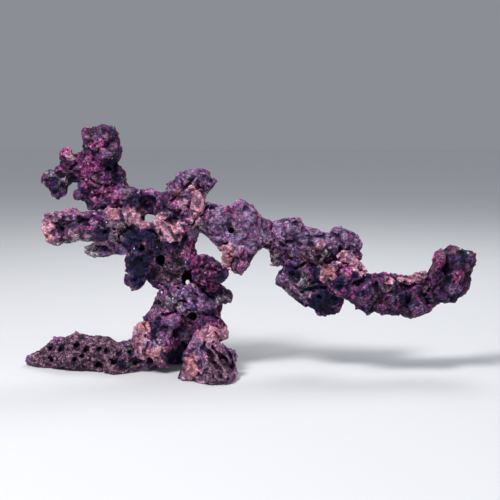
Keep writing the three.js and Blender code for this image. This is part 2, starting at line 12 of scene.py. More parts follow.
import bpy
import numpy as np
import openvdb
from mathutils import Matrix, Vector


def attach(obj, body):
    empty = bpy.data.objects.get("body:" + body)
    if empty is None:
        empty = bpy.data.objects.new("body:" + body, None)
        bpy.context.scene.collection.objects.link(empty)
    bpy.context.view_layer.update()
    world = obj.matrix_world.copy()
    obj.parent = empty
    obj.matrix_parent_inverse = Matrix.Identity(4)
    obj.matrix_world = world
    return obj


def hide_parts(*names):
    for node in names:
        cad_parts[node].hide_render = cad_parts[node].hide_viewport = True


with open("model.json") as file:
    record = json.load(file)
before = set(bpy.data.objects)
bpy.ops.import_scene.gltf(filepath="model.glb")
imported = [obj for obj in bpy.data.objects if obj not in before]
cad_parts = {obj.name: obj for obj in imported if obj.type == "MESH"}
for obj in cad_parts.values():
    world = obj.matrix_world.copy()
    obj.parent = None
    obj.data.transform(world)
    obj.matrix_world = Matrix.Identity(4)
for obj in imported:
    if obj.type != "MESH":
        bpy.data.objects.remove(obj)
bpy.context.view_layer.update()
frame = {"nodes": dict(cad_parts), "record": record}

MM = 0.001
VOXEL = 1.35  # spacing of the field's grid, in millimetres
BAND = 9.5  # the field is exact this far from the surface
FAR = 1e9  # stands for no distance found yet

# The photographed view: the place of the camera's eye, its downward tilt and its focal length
EYE = Vector((5.7, -1306.0, 330.0)) * MM
TILT = math.radians(7.19)
FOCAL_PIXELS = 966
IMAGE_PIXELS = 500
SENSOR = 36.0


# Random numbers and noise


def hashed(i, j, k, seed):
    """A repeatable number from 0 to 1 for each place of an integer lattice.

    The multipliers are large odd numbers that only scatter the bits.
    """
    i, j, k = (np.asarray(a, np.int64).astype(np.uint32) for a in (i, j, k))
    h = i * np.uint32(374761393) ^ j * np.uint32(668265263) ^ k * np.uint32(2246822519)
    h = (h ^ np.uint32((seed * 1274126177) & 0xFFFFFFFF)) * np.uint32(2654435761)
    h = (h ^ (h >> np.uint32(15))) * np.uint32(2246822519)
    h = (h ^ (h >> np.uint32(13))) * np.uint32(3266489917)
    return (h ^ (h >> np.uint32(16))).astype(np.float32) / np.float32(4294967296)


def noise(points, size, seed):
    """Smooth noise from -1 to 1 whose features are size apart."""
    at = points / np.float32(size)
    cell = np.floor(at)
    t = at - cell
    t = t * t * t * (t * (t * 6 - 15) + 10)  # eases in and out of each lattice place
    low = cell.min(0).astype(np.int64)
    span = (cell.max(0).astype(np.int64) - low + 2).tolist()
    ijk = np.meshgrid(*[np.arange(n) + a for n, a in zip(span, low)], indexing="ij")
    lattice = hashed(*ijk, seed).ravel()
    index = cell.astype(np.int64) - low
    base = (index[:, 0] * span[1] + index[:, 1]) * span[2] + index[:, 2]
    step = (span[1] * span[2], span[2], 1)
    total = np.zeros(len(points), np.float32)
    for n in range(8):
        bits = (n & 1, n >> 1 & 1, n >> 2)
        weight = np.ones(len(points), np.float32)
        offset = 0
        for axis, bit in enumerate(bits):
            weight *= t[:, axis] if bit else 1 - t[:, axis]
            offset += bit * step[axis]
        total += weight * lattice[base + offset]
    return 2 * total - 1


def feature_points(points, size, seed):
    """For each point, every feature point of the 27 lattice cells round it: yields (distance, chance)."""
    at = points / np.float32(size)
    cell = np.floor(at).astype(np.int64)
    low = cell.min(0) - 1
    span = (cell.max(0) - low + 2).tolist()
    ijk = np.meshgrid(*[np.arange(n) + a for n, a in zip(span, low)], indexing="ij")
    jitter = [(hashed(*ijk, seed + n) + ijk[n]).astype(np.float32).ravel() for n in range(3)]
    chance = hashed(*ijk, seed + 3).ravel()
    index = cell - low
    base = (index[:, 0] * span[1] + index[:, 1]) * span[2] + index[:, 2]
    for a in (-1, 0, 1):
        for b in (-1, 0, 1):
            for c in (-1, 0, 1):
                here = base + (a * span[1] + b) * span[2] + c
                square = (jitter[0][here] - at[:, 0]) ** 2
                square += (jitter[1][here] - at[:, 1]) ** 2
                square += (jitter[2][here] - at[:, 2]) ** 2
                yield np.sqrt(square) * np.float32(size), chance[here]


def domes(points, size, seed):
    """Rounded lumps with sharp creases between them, about -0.5 to 0.3."""
    top, fall = 0.3, 1.2
    nearest = np.full(len(points), FAR, np.float32)
    for distance, _ in feature_points(points, size, seed):
        nearest = np.minimum(nearest, distance)
    return top - fall * (nearest / np.float32(size)) ** 2


def pits(points, spacing, radius, share, seed):
    """How deep each point lies in the nearest pit, in millimetres: positive inside one.

    A share of the lattice's places hold a pit. radius is the least and the greatest one.
    """
    deepest = np.full(len(points), -FAR, np.float32)
    for distance, chance in feature_points(points, spacing, seed):
        size = radius[0] + (radius[1] - radius[0]) * chance / share
        depth = np.where(chance < share, size - distance, -FAR)
        deepest = np.maximum(deepest, depth.astype(np.float32))
    return deepest


# From a part of the frame to its stone


def blurred(field, reach):
    """The field, averaged over its neighbourhood with weights that fall off with that reach."""
    cut_off = 2.5  # weights end at this many times the reach
    sigma = reach / VOXEL
    half = int(math.ceil(cut_off * sigma))
    weights = np.exp(-0.5 * (np.arange(-half, half + 1) / sigma) ** 2)
    weights = (weights / weights.sum()).astype(np.float32)
    for axis in range(3):
        padded = np.pad(field, [(half, half) if n == axis else (0, 0) for n in range(3)], mode="edge")
        total = np.zeros_like(field)
        for n, weight in enumerate(weights):
            cut = [slice(None)] * 3
            cut[axis] = slice(n, n + field.shape[axis])
            total += weight * padded[tuple(cut)]
        field = total
    return field


def distance_block(node):
    """A node's signed distances on a grid: (block, first index). Negative inside, in millimetres."""
    mesh = node.data
    mesh.calc_loop_triangles()
    points = np.empty(len(mesh.vertices) * 3, np.float32)
    mesh.vertices.foreach_get("co", points)
    points = points.reshape(-1, 3) / MM
    triangles = np.empty(len(mesh.loop_triangles) * 3, np.int32)
    mesh.loop_triangles.foreach_get("vertices", triangles)
    transform = openvdb.createLinearTransform(voxelSize=VOXEL)
    grid = openvdb.FloatGrid.createLevelSetFromPolygons(
        points.astype(np.float64),
        triangles=triangles.reshape(-1, 3).astype(np.uint32),
        transform=transform,
        halfWidth=BAND / VOXEL,
    )
    low = np.floor((points.min(0) - BAND) / VOXEL).astype(int)
    high = np.ceil((points.max(0) + BAND) / VOXEL).astype(int)
    block = np.empty(high - low + 1, np.float32)
    grid.copyToArray(block, ijk=tuple(int(a) for a in low))
    return block, low


def surface(block, low):
    """The surface of a block of distances: (vertices in millimetres, quads)."""
    grid = openvdb.FloatGrid(float(BAND))
    grid.copyFromArray(block, ijk=tuple(int(a) for a in low))
    grid.transform = openvdb.createLinearTransform(voxelSize=VOXEL)
    points, _, quads = grid.convertToPolygons(isovalue=0.0, adaptivity=0.0)
    return points.astype(np.float32), quads


def sampled(block, low, points):
    """The block's value at each point, interpolated."""
    at = np.clip(points / VOXEL - low, 0, np.array(block.shape) - 1.001)  # stays inside the last cell
    cell = at.astype(int)
    t = at - cell
    total = np.zeros(len(points), np.float32)
    for n in range(8):
        bits = np.array((n & 1, n >> 1 & 1, n >> 2))
        weight = np.prod(np.where(bits, t, 1 - t), axis=1)
        total += weight * block[tuple((cell + bits).T)]
    return total


# How each kind of stone is weathered, in millimetres: the fill added all over so that neighbours meet,
# the heights of its swells, lumps, crumbly bumps and grain, and the depth of its cracks. Then the share
# of the places on a lattice that hold a wide hole or a small pit.
ROUGH = dict(fill=0.7, swells=5.0, lumps=4.2, bumps=2.4, grain=1.3, cracks=2.6, holes=0.12, pits=0.26)
PITTED = dict(fill=0.7, swells=2.5, lumps=3.2, bumps=2.4, grain=1.3, cracks=1.4, holes=0.26, pits=0.30)
SMOOTHER = dict(fill=0.7, swells=3.5, lumps=2.4, bumps=1.8, grain=1.0, cracks=1.2, holes=0.05, pits=0.14)
SLENDER = dict(fill=2.6, swells=1.5, lumps=2.0, bumps=1.8, grain=1.2, cracks=1.6, holes=0.06, pits=0.20)
PRESSED = dict(fill=0.7, swells=3.0, lumps=2.4, bumps=1.5, grain=1.3, cracks=2.2, holes=0.06, pits=0.22)

# Sizes of the weathering, in millimetres
SOFTEN = 1.6  # how far facet edges are rounded
SKIN = 8.0  # only this depth on both sides of the surface is weathered
SWELL_SIZE = 22.0
LUMP_SIZES = (10.5, 7.5)  # raised, eroded
BUMP_SIZES = (5.0, 3.8)
GRAIN_SIZE = 3.4
WARP_SIZE = 9.0
CRACK_SPACING = 23.0
CRACK_WAVE = 15.0
HOLE_SPACING, HOLE_RADIUS = 15.0, (1.6, 3.6)
PIT_SPACING, PIT_RADIUS = 6.5, (0.6, 1.9)
FLANK = 0.7  # a power below 1 gives knobs and creases full tops and steep flanks
CARVED = (-6.5, 4.5)  # the least and the greatest height of the knobs and creases together
LOOSE = 0.2  # a crumb with less than this share of the largest body's points is left out
CRACK_WIDTH = 0.06  # how near to the middle of the noise a crack runs

# How far the noise shifts each kind of relief, in millimetres, so that none looks regular
BEND = dict(raised=2.5, eroded=1.2, swells=2.0, cracks=3.0, hollows=0.9)

# Attributes that say how far the surface stands out of its surroundings, and the reach of these. The
# materials paint shade into the low places and lighter tones onto the high ones from them.
RELIEFS = {"relief": 1.9, "form": 5.0}
RELIEF_DEPTH = 6  # the field is cut off at this depth before they are taken
RELIEF_SPREAD = 0.2  # how much of the range from 0 to 1 one standard deviation takes


# Holes, caves and cracks, as chains of stations [x, y, z, radius] that are taken out of every stone
HOLLOWS = [
    [(-115, -60, 159, 6.6), (-112, -8, 154, 6.6)],
    [(-78, -56, 136, 7.2), (-80, -4, 128, 7.2)],
    [(-74, -60, 83, 5.8), (-69, -6, 77, 5.8)],
    [(-19, -56, 197, 4.2), (-19, -4, 193, 4.2)],
    [(-148, -60, 174, 4.0), (-138, -60, 174, 4.0), (-138, -16, 171, 4.0), (-147, -16, 171, 3.6)],
    [(-148, -60, 233, 7.0), (-136, -60, 234, 7.5), (-132, 0, 230, 8.0), (-146, 0, 229, 7.0)],
    [(-135, -46, 214, 5.0), (-135, 56, 205, 5.0)],
    [(-127, -46, 213, 5.0), (-127, 56, 204, 5.0)],
    [(-81, -56, 129, 4.0), (-81, 64, 110, 4.0)],
    [(-182, -70, 279, 4.0), (-181, -16, 276, 3.4)],
    [(-267, -16, 32, 3.2), (-271, 5, 27, 3.0)],
    [(-265, -21, 18, 3.0), (-269, 0, 13, 2.8)],
    [(-251, -28, 33, 3.4), (-255, -7, 28, 3.2)],
    [(-229, -28, 39, 3.2), (-233, -7, 34, 3.0)],
    [(-216, -33, 33, 3.0), (-220, -12, 28, 2.8)],
    [(-196, -31, 36, 2.6), (-200, -10, 31, 2.4)],
    [(-185, -40, 33, 2.4), (-189, -19, 28, 2.2)],
    [(-230, -35, 21, 3.0), (-234, -14, 16, 2.8)],
    [(-198, -36, 14, 3.6), (-202, -15, 9, 3.4)],
    [(-221, -34, 26, 2.4), (-225, -13, 21, 2.2)],
    [(-175, -49, 20, 3.4), (-179, -28, 15, 3.2)],
    [(-170, -45, 31, 2.8), (-174, -24, 26, 2.6)],
    [(-155, -39, 32, 3.0), (-159, -18, 27, 2.8)],
    [(-148, -36, 17, 3.4), (-152, -15, 12, 3.2)],
    [(-131, -70, 20, 4.4), (-130, -10, 14, 4.4)],
    [(-57, -90, 57, 2.2), (-54, -54, 48, 2.4), (-49, -58, 34, 2.6), (-49, -90, 38, 2.4)],
    [(-42, -90, 32, 2.2), (-41, -66, 24, 2.2), (-39, -68, 16, 2.2)],
    [(-17, -90, 24, 3.0), (-17, -60, 18, 2.8)],
    [(270, -70, 160, 1.4), (266, -34, 150, 2.0), (268, -36, 138, 2.0), (263, -34, 130, 1.4)],
    [(156, -70, 140, 3.2), (157, -40, 134, 3.0)],
    [(143, -70, 132, 2.6), (143, -42, 127, 2.6)],
    [(172, -70, 132, 2.4), (172, -38, 126, 2.4)],
    [(96, -70, 157, 1.8), (97, -24, 150, 2.0), (104, -26, 148, 2.0), (108, -26, 156, 1.8)],
]


# Knobs of the photographed side, and its hollows where the height is negative:
# [across, height above the floor, radius, height out of the stone]
KNOBS = [
    (-237, 300, 9, 4.0), (-246, 268, 7, -4.0), (-265, 268, 6, 3.0), (-251, 254, 7, 3.0),
    (-219, 246, 9, 3.0), (-192, 299, 4, -4.0), (-200, 313, 3, -4.0), (-178, 285, 10, -4.5),
    (-212, 320, 10, 2.5), (-188, 322, 12, 2.0), (-205, 283, 13, 2.5), (-240, 224, 7, 2.5),
    (-267, 201, 6, 2.5), (-260, 186, 8, 3.0), (-250, 189, 6, 2.5), (-224, 194, 9, 2.0),
    (-244, 208, 5, -3.5), (-171, 204, 12, 2.5), (-174, 197, 3, -4.0), (-189, 187, 9, 2.5),
    (-150, 236, 11, -6.5), (-132, 240, 12, -6.0), (-101, 240, 10, 3.5), (-84, 268, 13, 3.5),
    (-56, 262, 9, 2.5), (-64, 256, 5, -3.5), (-80, 205, 6, -3.0), (-64, 158, 9, 4.0),
    (-43, 156, 9, 4.0), (-78, 150, 8, 2.5), (-144, 150, 10, -3.0), (-139, 125, 8, 3.0),
    (-108, 152, 7, -3.0), (-88, 116, 14, 3.0), (-100, 96, 9, 2.0), (-46, 102, 9, -5.5),
    (-48, 90, 7, -5.0), (-33, 102, 9, 3.0), (-43, 70, 13, 4.0), (-96, 72, 14, 3.0),
    (-116, 44, 15, 3.0), (-138, 62, 9, 2.5), (-88, 36, 10, -3.0), (-70, 18, 12, 3.5),
    (-44, 12, 14, 3.0), (-37, 32, 7, 3.0), (-32, 18, 7, 3.0), (-17, 39, 9, 3.0), (-14, 9, 7, 2.5),
    (-67, 47, 12, 2.5), (-8, 232, 12, 3.5), (-34, 214, 13, 2.5), (4, 190, 14, 2.0),
    (69, 217, 8, 4.0), (66, 203, 5, -4.5), (86, 199, 6, 3.0), (42, 162, 7, 2.5), (50, 195, 13, 2.0),
    (88, 176, 6, -4.5), (97, 157, 5, -4.5), (106, 172, 8, 3.0), (118, 196, 9, 3.0),
    (136, 186, 8, 2.5), (140, 168, 7, -3.5), (50, 128, 10, 3.5), (78, 134, 15, 2.5),
    (86, 128, 3, -3.5), (98, 104, 14, 2.5), (110, 128, 8, -3.0), (139, 149, 15, 3.5),
    (162, 134, 5, -5.0), (155, 104, 10, 3.5), (182, 92, 9, 3.0), (196, 101, 10, 3.0),
    (220, 114, 8, 3.0), (229, 94, 14, 4.5), (214, 106, 5, -4.5), (243, 112, 7, 3.0),
    (259, 158, 12, 3.5), (284, 145, 11, 4.0), (277, 117, 11, 3.5), (294, 146, 6, 3.0),
    (286, 164, 6, -3.5), (-26, 250, 6, 2.0), (-5, 152, 7, 3.0), (10, 166, 8, 2.5),
    (-20, 176, 8, 2.5), (-269, 29, 6, -5.0), (-267, 15, 6, -5.0), (-252, 29, 7, -5.5),
    (-231, 36, 6, -5.0), (-218, 30, 6, -5.0), (-198, 33, 5, -4.5), (-187, 30, 5, -4.0),
    (-232, 17, 6, -4.0), (-200, 11, 7, -5.5), (-223, 23, 5, -3.5), (-176, 18, 8, -5.5),
    (-172, 28, 6, -4.0), (-157, 29, 6, -5.0), (-150, 15, 8, -5.0), (-180, 38, 8, 2.5),
    (-181, 9, 9, 3.0), (-240, 22, 8, 2.5), (-229, 292, 10, 4.0), (-222, 284, 9, 4.0),
    (-93, 226, 8, 3.5), (-60, 222, 7, 3.5), (-98, 222, 4, -4.0), (-107, 195, 5, 2.5),
    (-91, 194, 5, 2.5), (-98, 184, 6, 2.5), (186, 126, 8, -4.0),
]

# Creases of the photographed side: width, depth, and their way as [across, height above the floor]
CREASES = [
    (4.2, 6.5, [(-57, 43), (-47, 36), (-38, 22), (-31, 13)]),
    (3.6, 6.5, [(-43, 44), (-32, 31), (-20, 17)]),
    (2.5, 5.0, [(-29, 47), (-20, 32), (-17, 18)]),
    (2.2, 4.0, [(-81, 31), (-69, 30), (-60, 18), (-58, 4)]),
    (3.0, 4.5, [(-57, 84), (-37, 76)]),
    (3.0, 5.0, [(-108, 225), (-90, 213)]),
    (3.0, 4.0, [(-74, 256), (-60, 250), (-54, 240)]),
    (3.0, 4.0, [(-52, 226), (-72, 203)]),
    (2.5, 4.0, [(-56, 165), (-54, 150), (-60, 140)]),
    (3.0, 4.0, [(-72, 141), (-58, 146), (-42, 142)]),
    (3.0, 4.0, [(34, 210), (37, 179)]),
    (2.5, 3.5, [(56, 179), (83, 184), (104, 186)]),
    (3.0, 4.0, [(52, 150), (66, 144), (80, 150)]),
    (3.0, 4.5, [(75, 110), (90, 118), (112, 116)]),
    (3.5, 5.5, [(163, 134), (144, 127)]),
    (2.5, 5.0, [(206, 121), (222, 124), (237, 129)]),
    (2.5, 3.0, [(218, 114), (212, 96)]),
    (2.5, 3.0, [(244, 120), (236, 106)]),
    (2.2, 2.5, [(172, 106), (168, 92)]),
    (3.0, 4.5, [(268, 158), (264, 144), (268, 130)]),
    (2.5, 4.0, [(-228, 298), (-222, 285), (-234, 276)]),
    (2.2, 2.5, [(-204, 262), (-190, 255), (-172, 256)]),
    (2.5, 3.5, [(-258, 214), (-246, 205), (-240, 190)]),
    (2.5, 4.0, [(-166, 218), (-160, 200), (-148, 192)]),
    (2.5, 4.5, [(-170, 31), (-173, 20)]),
    (2.5, 4.0, [(-132, 44), (-138, 30), (-130, 16)]),
    (2.5, 4.0, [(-112, 80), (-96, 84), (-80, 78)]),
    (2.5, 4.0, [(-113, 122), (-98, 106), (-80, 100)]),
    (2.5, 3.5, [(-101, 232), (-84, 248), (-68, 265)]),
    (2.2, 3.0, [(-78, 226), (-60, 216)]),
    (2.5, 4.5, [(-112, 206), (-100, 198), (-92, 184)]),
    (2.2, 4.0, [(-96, 212), (-84, 202), (-78, 190)]),
]


def sculpted(points, out_of_front):
    """Height added by the knobs and creases, where the surface faces the front."""
    x, z = points[:, 0], points[:, 2]
    height = np.zeros(len(points), np.float32)
    for across, up, radius, rise in KNOBS:
        near = 1 - ((x - across) ** 2 + (z - up) ** 2) / radius**2
        height += rise * np.clip(near, 0, 1) ** FLANK
    for width, depth, way in CREASES:
        gap = np.full(len(points), FAR, np.float32)
        for start, end in zip(way[:-1], way[1:]):
            along = (end[0] - start[0], end[1] - start[1])
            t = ((x - start[0]) * along[0] + (z - start[1]) * along[1]) / (along[0] ** 2 + along[1] ** 2)
            t = np.clip(t, 0, 1)
            gap = np.minimum(gap, np.hypot(x - start[0] - t * along[0], z - start[1] - t * along[1]))
        height -= depth * np.clip(1 - (gap / width) ** 2, 0, 1) ** FLANK
    return np.clip(height, *CARVED) * out_of_front


def limbs(points, chains):
    """Distance from each point to the skin of the nearest chain: negative inside it."""
    least = np.full(len(points), FAR, np.float32)
    margin = 12  # more than the widest radius
    low, high = points.min(0) - margin, points.max(0) + margin
    for chain in chains:
        stations = np.array(chain, np.float32)
        if (stations[:, :3].max(0) < low).any() or (stations[:, :3].min(0) > high).any():
            continue
        for start, end in zip(stations[:-1], stations[1:]):
            along = end[:3] - start[:3]
            t = np.clip((points - start[:3]) @ along / (along @ along), 0, 1)
            gap = np.linalg.norm(points - start[:3] - t[:, None] * along, axis=1)
            least = np.minimum(least, gap - start[3] - t * (end[3] - start[3]))
    return least


def knobbly(raised, eroded, sizes, seed):
    """Rounded lumps less rounded dents, at their own sizes and places."""
    return 0.6 * domes(raised, sizes[0], seed) - 0.5 * domes(eroded, sizes[1], seed + 4)


def weathered(block, low, wear):
    """The block with its surface roughened."""
    field = blurred(block, SOFTEN) - wear["fill"]
    near = np.argwhere(np.abs(field) < SKIN)
    here = tuple(near.T)
    points = ((near + low) * VOXEL).astype(np.float32)
    warp = np.stack([noise(points, WARP_SIZE, seed) for seed in (18, 19, 20)], 1)
    raised = points + BEND["raised"] * warp
    eroded = points + BEND["eroded"] * warp
    to_back = np.gradient(field, VOXEL, axis=1)[here]
    height = sculpted(raised, np.clip(0.1 - 1.8 * to_back, 0, 1))
    height += wear["swells"] * domes(points + BEND["swells"] * warp, SWELL_SIZE, 2)
    height += wear["lumps"] * knobbly(raised, eroded, LUMP_SIZES, 20)
    height += wear["bumps"] * knobbly(raised, eroded, BUMP_SIZES, 30)
    height += wear["grain"] * noise(points, GRAIN_SIZE, 40)
    crack = np.abs(noise(points + BEND["cracks"] * warp, CRACK_SPACING, 90))
    crack += 0.1 * np.abs(noise(points, CRACK_WAVE, 91))
    height -= wear["cracks"] * np.clip(1 - crack / CRACK_WIDTH, 0, 1)
    value = field[here] - height
    holes = pits(raised, HOLE_SPACING, HOLE_RADIUS, wear["holes"], 60)
    value = np.maximum(value, np.minimum(holes, BAND))
    small_pits = pits(raised, PIT_SPACING, PIT_RADIUS, wear["pits"], 70)
    value = np.maximum(value, np.minimum(small_pits, BAND))
    value = np.maximum(value, -limbs(points + BEND["hollows"] * warp, HOLLOWS))
    value = np.maximum(value, -points[:, 2])  # nothing reaches below the floor
    field[here] = value
    return field


def main_body(points, quads):
    """The points and quads without the crumbs that the noise has cut loose."""
    label = np.arange(len(points))
    while True:
        least = label[quads].min(1)
        after = label.copy()
        for corner in range(4):
            np.minimum.at(after, quads[:, corner], least)
        after = after[after]
        if np.array_equal(after, label):
            break
        label = after
    names, sizes = np.unique(label, return_counts=True)
    kept = np.isin(label, names[sizes > LOOSE * sizes.max()])
    number = np.cumsum(kept) - 1
    return points[kept], number[quads[kept[quads[:, 0]]]]


def stone(name, node_name, wear):
    """The piece that replaces a node, with its surface detail, its reliefs and its patches."""
    block, low = distance_block(frame["nodes"][node_name])
    rough = weathered(block, low, wear)
    points, quads = main_body(*surface(rough, low))
    mesh = bpy.data.meshes.new(name)
    mesh.vertices.add(len(points))
    mesh.vertices.foreach_set("co", (points * MM).ravel())
    mesh.loops.add(len(quads) * 4)
    mesh.loops.foreach_set("vertex_index", quads.astype(np.int32).ravel())
    mesh.polygons.add(len(quads))
    mesh.polygons.foreach_set("loop_start", np.arange(0, len(quads) * 4, 4, dtype=np.int32))
    mesh.update()
    mesh.shade_smooth()
    clipped = np.clip(rough, -RELIEF_DEPTH, RELIEF_DEPTH)
    for relief_name, reach in RELIEFS.items():
        height = sampled(blurred(clipped, reach), low, points)
        attribute(mesh, relief_name, 0.5 + RELIEF_SPREAD * (height - height.mean()) / height.std())
    for kind, mask in patch_masks(points):
        attribute(mesh, kind, mask)
    piece = bpy.data.objects.new(name, mesh)
    bpy.context.scene.collection.objects.link(piece)
    return piece


def attribute(mesh, name, values):
    """Keeps one value for each vertex."""
    mesh.attributes.new(name, "FLOAT", "POINT").data.foreach_set("value", values.astype(np.float32))


# Patches of colour, each kind under its own name: place across, height and radius in millimetres. The navy
# and dusk kinds are painted shade. They reach through the stone from front to back, and shrink with the
# distance from the front.
PATCHES = {
    "salmon": [
        (-232, 292, 7), (-262, 199, 12), (-259, 185, 9), (-175, 217, 9), (-144, 214, 13),
        (-128, 207, 8), (-101, 193, 15), (-115, 210, 8), (-83, 228, 8), (-92, 247, 5), (-65, 230, 10),
        (-65, 244, 8), (-72, 255, 7), (-25, 166, 9), (-25, 150, 8), (-140, 57, 12), (-121, 28, 13),
        (-133, 29, 9), (-50, 60, 10), (-34, 58, 9), (-72, 16, 12), (-70, 27, 8), (110, 138, 9),
        (208, 133, 4), (226, 134, 4), (190, 131, 4), (97, 175, 5), (146, 148, 5), (152, 141, 5),
    ],
    "pink": [
        (-236, 297, 14), (-243, 280, 8), (-206, 280, 13), (-211, 263, 9), (-195, 244, 12),
        (-175, 238, 11), (-183, 247, 10), (-84, 214, 7), (-75, 206, 5), (-93, 246, 5), (130, 146, 6),
        (20, 216, 7), (-22, 222, 6), (-205, 204, 5), (-196, 211, 5), (-214, 197, 5), (-115, 250, 8),
        (-96, 236, 8), (-75, 166, 10), (-64, 150, 9), (-48, 142, 10), (-126, 146, 6), (-61, 126, 7),
        (-96, 62, 5), (-75, 66, 7), (-41, 61, 11), (-99, 39, 9), (144, 139, 11), (-96, 222, 5),
        (-109, 200, 4), (203, 101, 8), (255, 154, 9), (281, 136, 9), (183, 101, 8), (-190, 310, 8),
        (-6, 150, 6),
    ],
    "grey": [
        (-166, 196, 13), (-174, 183, 8), (-61, 199, 10), (73, 118, 17), (60, 108, 9), (-257, 266, 6),
        (-238, 261, 6), (-225, 183, 12), (-243, 181, 9), (-207, 183, 8), (-118, 46, 5), (-163, 36, 5),
        (-70, 209, 8), (-95, 100, 12), (-29, 101, 8), (39, 152, 7), (110, 166, 9), (285, 165, 7),
    ],
    # Painted shade: near-black blue where shade falls in pits, hollows and caves
    "navy_shade": [
        (-189, 190, 11), (-149, 187, 12), (-128, 191, 9), (-144, 150, 14), (-144, 128, 9),
        (-115, 173, 8), (-180, 277, 9), (-169, 264, 6), (-254, 258, 8), (-229, 263, 6), (-58, 249, 5),
        (-108, 227, 6), (-139, 230, 13), (-32, 136, 8), (8, 159, 7), (-48, 104, 7), (-44, 83, 6),
        (-85, 62, 8), (-93, 20, 14), (100, 96, 15), (117, 101, 9), (121, 128, 8), (210, 107, 10),
        (266, 146, 6), (266, 132, 6), (289, 159, 7), (-215, 209, 6), (-228, 204, 5), (281, 105, 8),
        (-218, 244, 6), (-98, 242, 4), (-98, 222, 4), (-77, 222, 4), (-168, 17, 5), (-156, 22, 4),
        (-48, 264, 5), (-108, 240, 6), (-101, 208, 5), (-84, 214, 5), (-123, 203, 4), (-92, 190, 4),
        (-71, 240, 3), (-112, 192, 3), (144, 136, 6), (155, 130, 5), (-269, 28, 3), (-267, 14, 3),
        (-253, 29, 4), (-231, 35, 3), (-218, 29, 3), (-198, 33, 3), (-200, 11, 4), (-232, 16, 3),
    ],
    # Painted shade: the right arm's end and tip, and caves and hollows, darkened towards black
    "dusk_shade": [
        (150, 108, 16), (178, 100, 18), (208, 104, 20), (240, 110, 16), (264, 140, 22), (284, 140, 18),
        (-125, 150, 20), (-120, 175, 16), (-95, 150, 14), (-60, 145, 12), (-160, 196, 8),
        (105, 100, 16), (-96, 20, 12), (-115, 173, 14), (-177, 282, 9), (-200, 325, 12),
    ],
    "lilac": [
        (-52, 258, 6), (-160, 219, 6), (-158, 210, 4), (-84, 262, 9), (-72, 277, 8), (-68, 262, 8),
        (112, 184, 10), (95, 190, 11), (120, 176, 9), (-104, 250, 8), (-182, 296, 6), (-196, 318, 6),
        (-37, 98, 11), (-90, 250, 9), (-104, 226, 8), (-92, 232, 7), (-195, 236, 8), (-176, 240, 8),
        (53, 194, 12), (75, 190, 11), (-168, 204, 9), (-185, 240, 7), (-162, 246, 7), (-222, 214, 6),
        (42, 142, 8), (-100, 218, 6), (-34, 214, 14), (-8, 207, 18), (-41, 191, 12), (-1, 183, 14),
        (22, 191, 10), (143, 171, 12), (133, 185, 8), (146, 160, 8), (-139, 38, 10), (-62, 46, 9),
        (-83, 51, 9),
    ],
    "brown": [
        (-275, 12, 28), (-235, 22, 32), (-195, 22, 32), (-160, 18, 20), (100, 166, 15), (39, 159, 9),
        (-36, 18, 20), (82, 160, 12), (186, 124, 9), (-117, 97, 8), (-155, 117, 7), (-101, 139, 20),
        (-91, 159, 11), (-78, 262, 9), (28, 178, 10),
    ],
    "mauve": [
        (50, 128, 11), (50, 195, 22), (80, 180, 16), (60, 160, 12), (-28, 20, 14), (-18, 36, 10),
        (-44, 12, 12), (155, 104, 12), (196, 101, 12), (229, 94, 12), (-88, 268, 10), (-150, 196, 5),
        (277, 117, 10), (-70, 270, 13), (-68, 260, 6), (-85, 280, 12), (-201, 216, 12), (-190, 205, 7),
        (-128, 44, 9), (-39, 36, 9), (-112, 26, 6), (-16, 20, 10), (-190, 245, 14), (-165, 243, 12),
        (-80, 214, 8), (-76, 203, 6), (130, 146, 7), (144, 136, 7), (155, 130, 6), (-98, 222, 5),
        (-60, 272, 10),
    ],
    "rust": [
        (-76, 18, 11), (-72, 30, 6), (-60, 10, 6), (-94, 248, 7), (-118, 30, 9), (-128, 34, 7),
        (112, 140, 9), (-24, 160, 8), (-4, 158, 5), (-262, 190, 8), (-136, 66, 8), (-178, 216, 6),
        (212, 132, 7), (78, 172, 5),
    ],
    "tan": [(-209, 166, 9), (-222, 182, 4), (-204, 161, 7)],
    "bone": [
        (-93, 217, 3), (-184, 206, 3), (-163, 218, 3), (287, 170, 3), (297, 165, 3), (191, 124, 2),
        (142, 118, 2), (-102, 226, 2), (-88, 215, 2), (-54, 3, 4), (-13, 18, 3), (-82, 4, 4),
        (159, 136, 3), (-80, 277, 2), (-122, 190, 2), (-103, 221, 3), (-108, 215, 3), (-99, 230, 3),
    ],
}
PATCH_FRONT = -26  # patches shrink behind this depth
PATCH_SHRINK = 0.3  # how fast they shrink there
PATCH_EDGE = 5  # how wide a patch's edge is, in millimetres


def patch_masks(points):
    """How much of each kind of patch lies on each point, from 0 to 1, with ragged edges."""
    ragged = 3.5 * noise(points, 11.0, 80) + 2.5 * noise(points, 5.0, 81)
    for kind, patches in PATCHES.items():
        inside = np.full(len(points), -FAR, np.float32)
        for across, height, radius in patches:
            square = (points[:, 0] - across) ** 2 + (points[:, 2] - height) ** 2
            square += (PATCH_SHRINK * np.maximum(points[:, 1] - PATCH_FRONT, 0)) ** 2
            inside = np.maximum(inside, radius - np.sqrt(square))
        if kind != "bone":
            inside += ragged
        yield kind, np.clip(0.5 + inside / PATCH_EDGE, 0, 1)


# Materials


